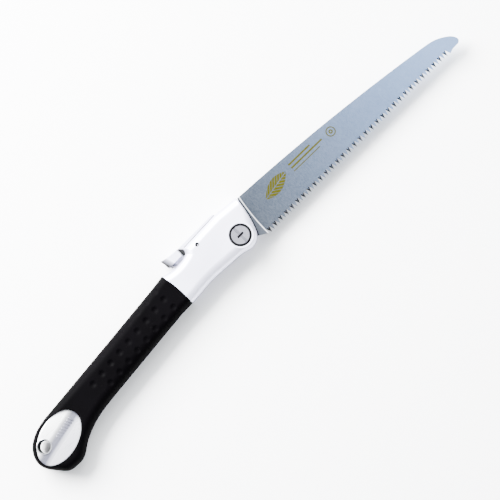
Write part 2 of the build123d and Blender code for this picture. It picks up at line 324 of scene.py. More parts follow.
def shader_group(name):
    """One of the shared effects, made the first time that it is asked for."""
    return bpy.data.node_groups.get(name) or GROUPS[name](name)


def grain_group(name):
    """Fine grain for bump and a slow drift of tone over the surface."""
    tree, net, given, made = start_group(name, {"Fineness": 2500.0, "Drift Size": 30.0}, ("Grain", "Drift"))
    fine = net.node("ShaderNodeTexNoise", given["Place"], None, given["Fineness"], 3.0, 0.6)
    slow = net.node("ShaderNodeTexNoise", given["Place"], None, given["Drift Size"], 2.0, 0.5)
    net.put(made["Grain"], fine.outputs[0])
    net.put(made["Drift"], net.spread(slow.outputs[0], 0.3, 0.7))
    return tree


def strokes_group(name):
    """Long grinding or brushing marks; each stretch divides the pattern along its axis."""
    tree, net, given, made = start_group(
        name, {"Fineness": 2500.0, "Along X": 1.0, "Along Y": 1.0, "Along Z": 1.0}, ("Strokes",)
    )
    stretch = net.node("ShaderNodeCombineXYZ", given["Along X"], given["Along Y"], given["Along Z"])
    place = net.node("ShaderNodeVectorMath", given["Place"], stretch.outputs[0], operation="MULTIPLY")
    marks = net.node("ShaderNodeTexNoise", place.outputs[0], None, given["Fineness"], 4.0, 0.65)
    net.put(made["Strokes"], net.spread(marks.outputs[0], 0.3, 0.7))
    return tree


def specks_group(name):
    """Sparse specks of dust or wear."""
    tree, net, given, made = start_group(name, {"Fineness": 600.0, "Amount": 0.1}, ("Specks",))
    cells = net.node("ShaderNodeTexVoronoi", given["Place"], None, given["Fineness"])
    chance = net.node("ShaderNodeTexNoise", given["Place"], None, 90.0, 2.0, 0.5)
    size = net.times(given["Amount"], net.spread(chance.outputs[0], 0.4, 0.75))
    net.put(made["Specks"], net.math("LESS_THAN", cells.outputs["Distance"], size))
    return tree


def rings_group(name):
    """Turning marks round an upright axis."""
    tree, net, given, made = start_group(
        name, {"Centre X": 0.0, "Centre Y": 0.0, "Pitch": 0.0004}, ("Rings", "Radius")
    )
    centre = net.node("ShaderNodeCombineXYZ", given["Centre X"], given["Centre Y"], 0.0)
    away = net.node("ShaderNodeVectorMath", given["Place"], centre.outputs[0], operation="SUBTRACT")
    flat = net.node("ShaderNodeVectorMath", away.outputs[0], (1.0, 1.0, 0.0), operation="MULTIPLY")
    radius = net.node("ShaderNodeVectorMath", flat.outputs[0], operation="LENGTH").outputs["Value"]
    turns = net.times(net.math("DIVIDE", radius, given["Pitch"]), 2 * math.pi)
    net.put(made["Rings"], net.spread(net.math("SINE", turns), -1.0, 1.0))
    net.put(made["Radius"], radius)
    return tree


GROUPS = {"grain": grain_group, "strokes": strokes_group, "specks": specks_group, "turning": rings_group}


# ---------------------------------------------------------------- materials


class Finish:
    """A material under construction: its shader, its Object coordinates and its nodes."""

    def __init__(self, name, metallic, roughness):
        self.material = bpy.data.materials.new(name)
        self.material.use_nodes = True
        self.material.node_tree.nodes.clear()
        self.net = Net(self.material.node_tree)
        self.shader = self.net.node("ShaderNodeBsdfPrincipled")
        ending = self.net.node("ShaderNodeOutputMaterial")
        self.net.put(ending.inputs[0], self.shader.outputs[0])
        self.place = self.net.node("ShaderNodeTexCoord").outputs["Object"]
        self.shader.inputs["Metallic"].default_value = metallic
        self.shader.inputs["Roughness"].default_value = roughness

    def set(self, **values):
        """Joins or sets the shader's inputs."""
        for key, value in values.items():
            self.net.put(self.shader.inputs[key.replace("_", " ")], value)

    def effect(self, name, **values):
        """Outputs of one of the shared effects, placed on this material."""
        return self.net.group(shader_group(name), Place=self.place, **values)

    def bump(self, height, depth, strength):
        """Joins a height to the shader's normal; the depth is in metres."""
        made = self.net.node("ShaderNodeBump")
        self.net.put(made.inputs["Height"], height)
        made.inputs["Distance"].default_value = depth
        made.inputs["Strength"].default_value = strength
        self.net.put(self.shader.inputs["Normal"], made.outputs[0])

    def from_pivot(self):
        """X, Y and Z in millimetres from the pivot axis and the blade's middle plane."""
        away = self.net.node("ShaderNodeVectorMath", self.place, tuple(PIVOT), operation="SUBTRACT")
        scaled = self.net.node("ShaderNodeVectorMath", away.outputs[0], operation="SCALE")
        scaled.inputs["Scale"].default_value = 1 / MM
        return self.net.node("ShaderNodeSeparateXYZ", scaled.outputs[0]).outputs


def user_colours():
    """The colours set in the panel."""
    return bpy.context.scene.saw_colours


def shade(rgb, factor=1.0):
    """An RGBA colour, lightened or darkened."""
    return (*(min(channel * factor, 1.0) for channel in rgb), 1.0)


def material(name):
    """One of the saw's finishes, made the first time that it is asked for."""
    label = f"finish_{name}"
    return bpy.data.materials.get(label) or FINISHES[name](label).material


def below_line(net, x, y, start, end, low, high):
    """Mask that is 1 where Y is less than low above a line, and 0 where it is more than high above it."""
    slope = (end[1] - start[1]) / (end[0] - start[0])
    line = net.math("MULTIPLY_ADD", x, slope, start[1] - slope * start[0])
    return net.spread(net.less(y, line), high, low)


def lever_painted_shade(net, x, y):
    """Painted shade along the bay's lip, in the notch before the thumb pad and down the pad's rear edge."""
    lip = below_line(net, x, y, LIP_START, LIP_END, 0.55, 0.8)
    lip = net.times(lip, net.spread(x, LIP_START[0], LIP_START[0] + 1.0))
    rear = net.plus(x, net.math("MULTIPLY_ADD", y, 0.286, 49.7))
    rear = net.math("POWER", net.spread(rear, 4.6, 0.0), 0.35)
    notch = net.times(net.spread(x, -43.6, -42.4), net.spread(x, -38.6, -39.4))
    notch = net.times(notch, net.spread(net.math("MULTIPLY_ADD", x, 1.1, y), -17.2, -18.4))
    return net.most(lip, net.most(rear, notch))


def cast_alloy(name, of_lever=False):
    """Fine satin alloy, with painted shade in the counterbore's recess and along the gap between the two
    halves.
    """
    made = Finish(name, 0.7, 0.5)
    net = made.net
    tint = user_colours().alloy
    grain = made.effect("grain", Fineness=3200.0, Drift_Size=26.0)
    marks = made.effect("strokes", Fineness=1500.0, Along_X=0.08)
    specks = made.effect("specks", Fineness=420.0, Amount=0.07)
    tone = net.mix(grain["Drift"], shade(tint, 0.95), shade(tint, 1.02))
    tone = net.mix(net.times(marks["Strokes"], 0.12), tone, shade(tint, 0.8))
    tone = net.mix(net.times(specks["Specks"], 0.25), tone, shade(tint, 0.6))
    x, y, z = made.from_pivot()[:3]
    radius = net.distance(x, y)
    # Painted shade: dark in the counterbore's recess round the bolt and, at half strength, in the gap
    # between the halves.
    deep = net.spread(net.size(z), 5.0, 6.0)
    recess = net.times(net.spread(radius, COUNTERBORE + 0.45, COUNTERBORE + 0.25), deep)
    inside = net.times(net.spread(net.size(z), 2.4, 1.6), 0.5)
    painted_shade = net.most(recess, inside)
    # On the lever the painted shade falls along its lip, notch and pad's rear edge instead.
    if of_lever:
        painted_shade = net.most(inside, lever_painted_shade(net, x, y))
    made.set(Base_Color=net.mix(painted_shade, tone, shade((0.006, 0.006, 0.007))))
    made.set(Roughness=net.spread(grain["Drift"], 0.0, 1.0, 0.46, 0.54))
    made.bump(net.plus(grain["Grain"], net.times(marks["Strokes"], 0.4)), 0.00004, 0.35)
    return made


def lever_alloy(name):
    """The lever's satin alloy, with painted shade where it meets the head."""
    return cast_alloy(name, of_lever=True)


def arc_distance(net, x, y, points):
    """Signed distance outside the circle through three points, in millimetres."""
    (ax, ay), (bx, by), (cx, cy) = points
    twice = 2 * (ax * (by - cy) + bx * (cy - ay) + cx * (ay - by))
    a2, b2, c2 = ax * ax + ay * ay, bx * bx + by * by, cx * cx + cy * cy
    ux = (a2 * (by - cy) + b2 * (cy - ay) + c2 * (ay - by)) / twice
    uy = (a2 * (cx - bx) + b2 * (ax - cx) + c2 * (bx - ax)) / twice
    u, v = net.less(x, ux), net.less(y, uy)
    away = net.distance(u, v)
    return net.less(away, math.hypot(ax - ux, ay - uy))


def blade_marks(made):
    """Mask of the printed leaf, three rules and two rings on the blade's right face."""
    net = made.net
    x, y, z = made.from_pivot()[:3]

    def leaf(centre_x, centre_y, length, width, lean):
        u = net.less(x, centre_x)
        v = net.less(y, net.plus(net.times(u, lean), centre_y))
        along = net.math("DIVIDE", u, length)
        room = net.times(net.less(1.0, net.times(along, along)), width)
        inside = net.less(room, net.size(v))
        rib = net.spread(net.size(v), 0.22, 0.38)
        slant = net.less(u, net.times(net.size(v), 1.1))
        vein = net.math("FRACT", net.math("DIVIDE", slant, 3.2))
        vein = net.size(net.less(vein, 0.5))
        veins = net.spread(vein, 0.05, 0.1)
        return net.times(net.spread(inside, 0.0, 0.15), net.times(rib, veins))

    def ring(centre_x, centre_y, radius, half):
        u, v = net.less(x, centre_x), net.less(y, centre_y)
        away = net.distance(u, v)
        return net.spread(net.size(net.less(away, radius)), half, half - 0.12)

    def rule(centre_y, low_x, high_x, half):
        middle = net.plus(centre_y, net.times(x, -0.03))
        across = net.size(net.less(y, middle))
        line = net.spread(across, half, half - 0.12)
        ends = net.times(net.spread(x, low_x, low_x + 0.15), net.spread(x, high_x, high_x - 0.15))
        return net.times(line, ends)

    shapes = (
        leaf(47.0, 8.2, 13.5, 5.8, 0.16), rule(14.2, 65.0, 88.0, 0.75), rule(10.9, 65.0, 98.0, 0.75),
        rule(7.7, 65.0, 93.0, 0.45), ring(107.0, 7.0, 3.6, 0.5), ring(107.0, 7.0, 1.2, 0.6),
    )
    mask = shapes[0]
    for other in shapes[1:]:
        mask = net.most(mask, other)
    return net.times(mask, net.math("GREATER_THAN", z, 0.0))


def ground_steel(name, facets=False):
    """Satin ground steel: bluish and painted paler towards the blade's tip as painted reflection, with a
    smooth tang behind the step, a painted highlight along the step and a painted shadow at the head's front
    edge.
    """
    made = Finish(name, 1.0, 0.34)
    net = made.net
    colours = user_colours()
    x, y = made.from_pivot()[:2]
    # Painted reflection: the base colour runs from dark at the heel to pale at the tip.
    reach = net.math("POWER", net.spread(x, 15.0, 215.0), 1.35)
    tone = net.mix(reach, shade(colours.steel_heel), shade(colours.steel_tip))
    grain = made.effect("grain", Fineness=4200.0, Drift_Size=16.0)
    marks = made.effect("strokes", Fineness=5200.0, Along_X=0.5, Along_Y=0.12)
    fine = made.effect("strokes", Fineness=1700.0, Along_X=0.02, Along_Z=0.3)
    specks = made.effect("specks", Fineness=260.0, Amount=0.06)
    tone = net.mix(net.times(marks["Strokes"], 0.07), tone, shade((0.85, 0.9, 1.0)))
    tone = net.mix(net.times(grain["Drift"], 0.1), tone, shade((0.2, 0.22, 0.26)))
    tone = net.mix(net.times(specks["Specks"], 0.3), tone, shade((0.15, 0.15, 0.16)))
    if facets:
        # Painted dark reflection: the facets are painted near black and made non-metallic.
        tone = net.mix(0.97, tone, shade((0.003, 0.003, 0.004)))
        made.set(Metallic=0.0, Specular_IOR_Level=0.12)
    else:
        ink = net.times(blade_marks(made), net.spread(grain["Grain"], 0.28, 0.42))
        tone = net.mix(ink, tone, shade(colours.print_ink))
        beyond_step = arc_distance(net, x, y, STEP_ARC)
        tone = net.mix(net.spread(beyond_step, -0.1, 0.3), tone, shade((0.1, 0.112, 0.135)))
        # Painted highlight: a bright line painted along the step.
        step = net.size(beyond_step)
        tone = net.mix(net.spread(step, 0.5, 0.3), tone, shade((0.95, 0.97, 1.0)))
        # Painted shadow: a dark band where the blade runs under the head's front edge.
        gap = arc_distance(net, x, y, HEAD_FRONT_ARC)
        painted_shadow_under_head = net.times(net.spread(gap, -2.0, -1.6), net.spread(gap, 1.0, 0.7))
        tone = net.mix(net.times(painted_shadow_under_head, 0.94), tone, shade((0.02, 0.02, 0.024)))
    made.set(Base_Color=tone)
    made.set(Roughness=net.spread(marks["Strokes"], 0.0, 1.0, 0.3, 0.38))
    made.bump(net.plus(marks["Strokes"], net.times(fine["Strokes"], 0.6)), 0.00002, 0.3)
    return made


def tooth_facet(name):
    """Sharpened facets, painted near black as a painted dark reflection, darker than the ground face."""
    return ground_steel(name, facets=True)


def grip_rubber(name):
    """Soft matt black rubber with a fine pebbled skin and a little dust."""
    made = Finish(name, 0.0, 0.6)
    net = made.net
    tint = user_colours().rubber
    grain = made.effect("grain", Fineness=2600.0, Drift_Size=34.0)
    specks = made.effect("specks", Fineness=900.0, Amount=0.16)
    pebble = net.node("ShaderNodeTexVoronoi", made.place, None, 2100.0)
    tone = net.mix(grain["Drift"], shade(tint, 0.85), shade(tint, 1.2))
    tone = net.mix(net.times(specks["Specks"], 0.22), tone, shade((0.02, 0.019, 0.018)))
    made.set(Base_Color=tone, Specular_IOR_Level=0.008)
    made.set(Roughness=net.spread(grain["Drift"], 0.0, 1.0, 0.52, 0.66))
    skin = net.plus(net.times(pebble.outputs["Distance"], 0.7), grain["Grain"])
    made.bump(skin, 0.00006, 0.4)
    return made


def plate_metal(name):
    """Satin pressed plate, brushed along its length, darker along its sunk band and greyer below the band's
    centre line as painted reflection.
    """
    made = Finish(name, 0.6, 0.3)
    net = made.net
    tint = user_colours().plate
    grain = made.effect("grain", Fineness=3600.0, Drift_Size=60.0)
    marks = made.effect("strokes", Fineness=3000.0, Along_X=0.03)
    tone = net.mix(grain["Drift"], shade(tint, 0.95), shade(tint, 1.04))
    tone = net.mix(net.times(marks["Strokes"], 0.14), tone, shade(tint, 0.7))
    x, y = made.from_pivot()[:2]
    (x0, y0), (x1, y1) = BAND_ENDS
    slope = (y1 - y0) / (x1 - x0)
    centre_line = net.math("MULTIPLY_ADD", x, slope, y0 - slope * x0)
    away = net.size(net.less(y, centre_line))
    band = net.math("POWER", net.spread(away, BAND_HALF + 2.2, BAND_HALF - 1.6), 0.6)
    # Painted reflection: the plate is painted greyer below the band's centre line.
    painted_reflection_below_centre = net.spread(net.less(y, centre_line), 1.5, -2.5, 0.0, 0.5)
    tone = net.mix(painted_reflection_below_centre, tone, shade((0.42, 0.42, 0.52)))
    tone = net.mix(net.times(band, 0.9), tone, shade((0.05, 0.052, 0.085)))
    made.set(Base_Color=tone)
    made.set(Roughness=net.spread(marks["Strokes"], 0.0, 1.0, 0.24, 0.36))
    made.bump(net.plus(grain["Grain"], marks["Strokes"]), 0.00002, 0.25)
    return made


def turned_steel(name, tint, centre, pitch, rough=(0.26, 0.38), painted_shade=0.0, painted_shade_bore=0.0):
    """Bright steel with turning marks round an axis."""
    made = Finish(name, 1.0, rough[0])
    net = made.net
    rings = made.effect("turning", Centre_X=centre[0], Centre_Y=centre[1], Pitch=pitch)
    grain = made.effect("grain", Fineness=4000.0, Drift_Size=120.0)
    specks = made.effect("specks", Fineness=700.0, Amount=0.12)
    tone = net.mix(grain["Drift"], shade(tint, 0.9), shade(tint, 1.06))
    tone = net.mix(net.times(rings["Rings"], 0.14), tone, shade(tint, 0.6))
    tone = net.mix(net.times(specks["Specks"], 0.35), tone, shade(tint, 0.35))
    # Painted shade: the parts below the bolt's face and the ring round its rim are painted dark.
    if painted_shade:
        z = made.from_pivot()[2]
        deep = net.spread(net.size(z), HEAD_FACE - 0.9, HEAD_FACE - 1.5)
        rim = net.spread(net.math("DIVIDE", rings["Radius"], MM), 7.05, 7.25)
        shadow = net.most(net.times(deep, painted_shade), rim)
        tone = net.mix(shadow, tone, shade((0.012, 0.012, 0.014)))
    roughness = net.spread(rings["Rings"], 0.0, 1.0, *rough)
    # Painted shade down the bore: the inner wall is painted near black, rough and non-metallic.
    if painted_shade_bore:
        bore = net.spread(rings["Radius"], painted_shade_bore + 0.35 * MM, painted_shade_bore + 0.2 * MM)
        tone = net.mix(bore, tone, shade((0.008, 0.009, 0.012)))
        roughness = net.most(roughness, bore)
        made.set(Metallic=net.less(1.0, bore))
    made.set(Base_Color=tone, Roughness=roughness)
    made.bump(net.plus(rings["Rings"], grain["Grain"]), 0.00002, 0.3)
    return made


def bolt_steel(name):
    """Turned nickel-plated steel of the pivot bolt and nut, with painted shade below the head's face and
    round its rim.
    """
    return turned_steel(name, user_colours().bolt, PIVOT, 0.00042, painted_shade=0.97)


def eyelet_steel(name):
    """Bright spun steel of the lanyard tube, with painted shade down its bore."""
    return turned_steel(
        name, user_colours().fastener, LANYARD, 0.0003, (0.18, 0.3), painted_shade_bore=TUBE_BORE
    )


def fastener_steel(name):
    """Plain bright steel of pins, rivets and washers."""
    return turned_steel(name, user_colours().fastener, PIVOT, 0.0009, (0.28, 0.4))


def bush_bronze(name):
    """Bearing bronze."""
    return turned_steel(name, user_colours().bronze, PIVOT, 0.0005, (0.3, 0.42))


def black_steel(name):
    """Black oxide steel, rubbed a little."""
    made = Finish(name, 0.2, 0.5)
    net = made.net
    tint = user_colours().black
    grain = made.effect("grain", Fineness=5200.0, Drift_Size=300.0)
    specks = made.effect("specks", Fineness=1800.0, Amount=0.2)
    tone = net.mix(grain["Drift"], shade(tint, 0.7), shade(tint, 1.5))
    tone = net.mix(net.times(specks["Specks"], 0.4), tone, shade((0.03, 0.03, 0.031)))
    made.set(Base_Color=tone, Specular_IOR_Level=0.15)
    made.set(Roughness=net.spread(grain["Grain"], 0.3, 0.7, 0.4, 0.6))
    made.bump(grain["Grain"], 0.00003, 0.4)
    return made


def spring_wire(name):
    """Drawn spring wire."""
    made = Finish(name, 1.0, 0.3)
    net = made.net
    tint = user_colours().spring
    grain = made.effect("grain", Fineness=6000.0, Drift_Size=400.0)
    marks = made.effect("strokes", Fineness=9000.0, Along_Z=0.1)
    made.set(Base_Color=net.mix(grain["Drift"], shade(tint, 0.8), shade(tint, 1.15)))
    made.set(Roughness=net.spread(marks["Strokes"], 0.0, 1.0, 0.22, 0.4))
    made.bump(marks["Strokes"], 0.00001, 0.4)
    return made


def pale_floor(name):
    """Plain pale floor."""
    made = Finish(name, 0.0, 0.7)
    net = made.net
    tint = user_colours().floor
    grain = made.effect("grain", Fineness=900.0, Drift_Size=4.0)
    tone = net.mix(grain["Drift"], shade(tint, 0.99), shade(tint))
    made.set(Base_Color=tone, Specular_IOR_Level=0.1)
    return made


FINISHES = {
    finish.__name__: finish
    for finish in (
        cast_alloy, lever_alloy, ground_steel, tooth_facet, grip_rubber, plate_metal, bolt_steel,
        eyelet_steel, fastener_steel, bush_bronze, black_steel, spring_wire, pale_floor,
    )
}
CAD_FINISHES = {
    "cast_alloy": ("frame_right", "frame_left"),
    "lever_alloy": ("lock_lever",),
    "eyelet_steel": ("lanyard_tube",),
    "bolt_steel": ("pivot_bolt", "pivot_nut"),
    "fastener_steel": ("frame_rivets", "nut_lock_washer", "open_stop_pin", "folded_stop_pin"),
    "bush_bronze": ("pivot_bush", "pivot_washer_right", "pivot_washer_left"),
    "black_steel": ("lever_pin",),
}


# ---------------------------------------------------------------- repeats by Geometry Nodes


def row_tree():
    """Node tree that sets copies of one object in a straight row; steep faces may take a second material."""
    tree = bpy.data.node_groups.get("row_of_copies")
    if tree:
        return tree
    tree = bpy.data.node_groups.new("row_of_copies", "GeometryNodeTree")
    for name, kind in (
        ("Geometry", "NodeSocketGeometry"), ("Pattern", "NodeSocketObject"), ("Count", "NodeSocketInt"),
        ("Start", "NodeSocketVector"), ("Step", "NodeSocketVector"), ("Turn", "NodeSocketRotation"),
        ("Material", "NodeSocketMaterial"), ("Steep Material", "NodeSocketMaterial"),
    ):
        tree.interface.new_socket(name, in_out="INPUT", socket_type=kind)
    tree.interface.new_socket("Geometry", in_out="OUTPUT", socket_type="NodeSocketGeometry")
    net = Net(tree)
    given = net.node("NodeGroupInput").outputs
    line = net.node("GeometryNodeMeshLine", mode="OFFSET", count_mode="TOTAL")
    for socket, key in (("Count", "Count"), ("Start Location", "Start"), ("Offset", "Step")):
        net.put(line.inputs[socket], given[key])
    source = net.node("GeometryNodeObjectInfo", given["Pattern"], transform_space="ORIGINAL")
    copies = net.node("GeometryNodeInstanceOnPoints")
    for socket, value in (
        ("Points", line.outputs[0]), ("Instance", source.outputs["Geometry"]), ("Rotation", given["Turn"]),
    ):
        net.put(copies.inputs[socket], value)
    real = net.node("GeometryNodeRealizeInstances", copies.outputs[0])
    plain = net.node("GeometryNodeSetMaterial", real.outputs[0])
    net.put(plain.inputs["Material"], given["Material"])
    upright = net.node("ShaderNodeSeparateXYZ", net.node("GeometryNodeInputNormal").outputs[0]).outputs[2]
    leaning = net.size(upright)
    steep = net.node("FunctionNodeCompare", data_type="FLOAT", operation="LESS_THAN")
    net.put(steep.inputs[0], leaning)
    net.put(steep.inputs[1], 0.97)
    marked = net.node("GeometryNodeSetMaterial", plain.outputs[0])
    net.put(marked.inputs["Selection"], steep.outputs[0])
    net.put(marked.inputs["Material"], given["Steep Material"])
    net.put(net.node("NodeGroupOutput").inputs[0], marked.outputs[0])
    return tree


def row_of(pattern, count, start, step, turn=(0.0, 0.0, 0.0), plain=None, steep=None):
    """A plain mesh of count copies of a pattern object in a row; the pattern itself is removed."""
    tree = row_tree()
    host = bpy.data.objects.new("row_host", bpy.data.meshes.new("row_host"))
    bpy.context.scene.collection.objects.link(host)
    modifier = host.modifiers.new("row", "NODES")
    modifier.node_group = tree
    values = {
        "Pattern": pattern, "Count": count, "Start": start, "Step": step, "Turn": turn,
        "Material": plain, "Steep Material": steep or plain,
    }
    for item in tree.interface.items_tree:
        if item.in_out == "INPUT" and item.name in values:
            modifier[item.identifier] = values[item.name]
    mesh = evaluated_mesh(host)
    bpy.data.objects.remove(pattern)
    return mesh


def joined(name, meshes):
    """One object from several meshes."""
    bm = bmesh.new()
    materials = []
    for mesh in meshes:
        first = len(bm.faces)
        bm.from_mesh(mesh)
        bm.faces.ensure_lookup_table()
        for face in bm.faces[first:]:
            used = mesh.materials[face.material_index] if mesh.materials else None
            if used not in materials:
                materials.append(used)
            face.material_index = materials.index(used)
    merged = bpy.data.meshes.new(name)
    bm.to_mesh(merged)
    bm.free()
    for used in materials:
        merged.materials.append(used)
    return merged


# ---------------------------------------------------------------- user settings


def length(name, description, default):
    """A length setting in metres."""
    return bpy.props.FloatProperty(
        name=name, description=description, default=default * MM, min=0.0, subtype="DISTANCE", unit="LENGTH",
        precision=5,
    )


def paint(name, description, default):
    """A colour setting."""
    return bpy.props.FloatVectorProperty(
        name=name, description=description, default=default, min=0.0, max=1.0, size=3, subtype="COLOR"
    )


class SawSizes(bpy.types.PropertyGroup):
    dimple_radius: length("Dimple Radius", "Radius of the grip's round dimples", 2.7)
    dimple_depth: length("Dimple Depth", "Depth of the grip's round dimples", 0.9)
    rim_front: length("Front Rounding", "Rounding of the grip's sides near the head", 6.5)
    rim_middle: length("Middle Rounding", "Rounding of the grip's sides at its middle", 9.0)
    tooth_facet: length("Tooth Facet", "Width of the sharpened facets", 1.05)
    ground_half: length("Ground Half Thickness", "Half thickness of the ground part of the blade", 0.55)
    plate_recess: length("Plate Recess", "Depth of the band across the butt plate", 0.22)
    plate_edge: length("Plate Edge", "Rounding of the butt plate's edge", 1.0)


class SawColours(bpy.types.PropertyGroup):
    alloy: paint("Alloy", "Head and lock lever", (0.68, 0.68, 0.82))
    # These two steel colours differ as painted reflection: the blade is painted paler towards its tip.
    steel_heel: paint("Steel at Heel", "Ground steel beside the head", (0.038, 0.05, 0.07))
    steel_tip: paint("Steel at Tip", "Ground steel at the blade's tip", (0.19, 0.3, 0.52))
    print_ink: paint("Print Ink", "Generic marks printed on the blade", (0.075, 0.07, 0.0015))
    rubber: paint("Rubber", "Grip", (0.0006, 0.0005, 0.0007))
    plate: paint("Butt Plate", "Oval plates at the butt", (0.97, 0.97, 0.99))
    bolt: paint("Bolt", "Pivot bolt and nut", (0.34, 0.34, 0.39))
    fastener: paint("Fasteners", "Pins, rivets, washers and lanyard tube", (0.72, 0.73, 0.76))
    bronze: paint("Bronze", "Bush and thrust washers", (0.66, 0.5, 0.3))
    black: paint("Black Steel", "Lever pin", (0.006, 0.006, 0.007))
    spring: paint("Spring", "Spring wire", (0.5, 0.5, 0.52))
    floor: paint("Floor", "Pale floor", (0.95, 0.95, 0.95))


# ---------------------------------------------------------------- blade

FIRST_ROOT = 17.5  # all in millimetres from the pivot axis
PITCH = 3.125
TOOTH_HEIGHT = 4.6
TIP_LINE = -14.7
TIP_SLOPE = -0.0131
BELOW_TEETH = -26.0
PAST_TIP = 240.0
STEP_SHIFT = 0.55  # the step's foot stands this far ahead of its line
STEP_SLANT = 5.5  # length of the step's slope for each millimetre of its height
CUT_RISE = 0.6
FREE_TEETH = 63  # the last tooth stays part of the blade's point
STEP_LINE = (  # where the ground part of the blade begins
    (20.1, 24.5), (19.2, 18.0), (18.2, 12.0), (17.2, 5.0), (16.45, -2.3), (16.15, -9.5), (16.2, -20.0),
)


def root_y(x):
    """Height of the line through the tooth roots."""
    return TIP_LINE + TIP_SLOPE * x + TOOTH_HEIGHT


def tooth(name, side, facet, half):
    """One closed tooth whose flanks are sharpened towards one side."""
    left, right = (0.0, 0.0), (PITCH, TIP_SLOPE * PITCH)
    tip = (PITCH / 2, TIP_SLOPE * PITCH / 2 - TOOTH_HEIGHT)
    half_angle = math.atan2(PITCH / 2, TOOTH_HEIGHT)
    inward, upward = facet / math.cos(half_angle), facet / math.sin(half_angle)
    near = ((left[0] + inward, left[1]), (right[0] - inward, right[1]), (tip[0], tip[1] + upward))
    bm = bmesh.new()
    far_ring = [bm.verts.new((x * MM, y * MM, -side * half)) for x, y in (left, right, tip)]
    near_ring = [bm.verts.new((x * MM, y * MM, side * half)) for x, y in near]
    bm.faces.new(far_ring)
    bm.faces.new(near_ring)
    for here in range(3):
        after = (here + 1) % 3
        bm.faces.new((far_ring[here], far_ring[after], near_ring[after], near_ring[here]))
    return object_from(bm, name)


class SAW_OT_blade(bpy.types.Operator):
    """Builds the blade with its ground step and its row of sharpened teeth"""

    bl_idname = "saw.blade"
    bl_label = "Blade and Teeth"

    def execute(self, context):
        sizes = context.scene.saw_sizes
        facet, half = sizes.tooth_facet / MM, sizes.ground_half
        blade = cad_copy("blade", "blade_blank")
        for side in (1, -1):
            bm = bmesh.new()
            rings = []
            for rise in (0.0, CUT_RISE):
                height, shift = half / MM + rise, STEP_SHIFT - rise * STEP_SLANT
                ring = [(x + shift, y) for x, y in (*STEP_LINE, (PAST_TIP, -20.0), (PAST_TIP, 24.5))]
                rings.append([bm.verts.new(from_pivot(x, y, side * height)) for x, y in ring])
            bm.faces.new(rings[0])
            bm.faces.new(rings[1])
            for here in range(len(rings[0])):
                after = (here + 1) % len(rings[0])
                bm.faces.new((rings[0][here], rings[0][after], rings[1][after], rings[1][here]))
            blade = cut(blade, object_from(bm, "ground_zone"))
        last_root = FIRST_ROOT + PITCH * FREE_TEETH
        corners = (
            (FIRST_ROOT, root_y(FIRST_ROOT)), (FIRST_ROOT, BELOW_TEETH), (last_root, BELOW_TEETH),
            (last_root, root_y(last_root)),
        )
        blade = cut_prism(blade, [from_pivot(*corner)[:2] for corner in corners], -2, 2)
        finish_piece(
            "saw_blade", mesh_of(blade), material("ground_steel"), "blade", ("blade",),
            smooth_angle=20,
        )

        rows = []
        step = (2 * PITCH * MM, 2 * PITCH * TIP_SLOPE * MM, 0.0)
        for side, offset, count in ((1, 0, (FREE_TEETH + 1) // 2), (-1, 1, FREE_TEETH // 2)):
            pattern = tooth("tooth_pattern", side, facet, half)
            first_x = FIRST_ROOT + offset * PITCH
            rows.append(
                row_of(
                    pattern, count, from_pivot(first_x, root_y(first_x)), step,
                    plain=material("ground_steel"), steep=material("tooth_facet"),
                )
            )
        finish_piece("saw_teeth", joined("saw_teeth", rows), None, "blade")
        return {"FINISHED"}


# ---------------------------------------------------------------- grip

CROWN = ((-48.0, 9.8), (-115.0, 10.5), (-245.0, 7.7))  # side view of the grip: x and half thickness
FRONT_ARC = (105.06, -63.4, -1.0)  # radius, x of its crest and y of its centre
DIMPLE_ROWS = (  # first and last centre of each row, and how many dimples it has
    ((-78.0, 17.0), (-163.0, 11.8), 9),
    ((-77.5, 7.8), (-163.0, 1.1), 9),
    ((-76.5, -2.0), (-152.5, -8.0), 8),
)
TANG_HALF = 5.6
SLOT_HALF = 1.9
SLOT_CORNERS = ((-50, -45), (-50, 0), (-226, -14), (-229, -17.4), (-226, -45))
FADE_LENGTH = 30  # over which the rows bend to the curved front edge
CAD_MARGIN = 0.998  # keeps the grip just inside the frame's own sleeve
STRAIGHT_X = -68.5  # the sleeve's edges are read behind here and carried straight on in front


def crown(x):
    """Half thickness of the grip at x, in millimetres from the pivot axis."""
    (x0, z0), (x1, z1), (x2, z2) = CROWN
    return (
        z0 * (x - x1) * (x - x2) / ((x0 - x1) * (x0 - x2))
        + z1 * (x - x0) * (x - x2) / ((x1 - x0) * (x1 - x2))
        + z2 * (x - x0) * (x - x1) / ((x2 - x0) * (x2 - x1))
    ) * CAD_MARGIN


def front_x(y):
    """X of the grip's front edge at y, in millimetres from the pivot axis."""
    radius, crest, centre = FRONT_ARC
    return crest - (radius - np.sqrt(radius**2 - (y - centre) ** 2))


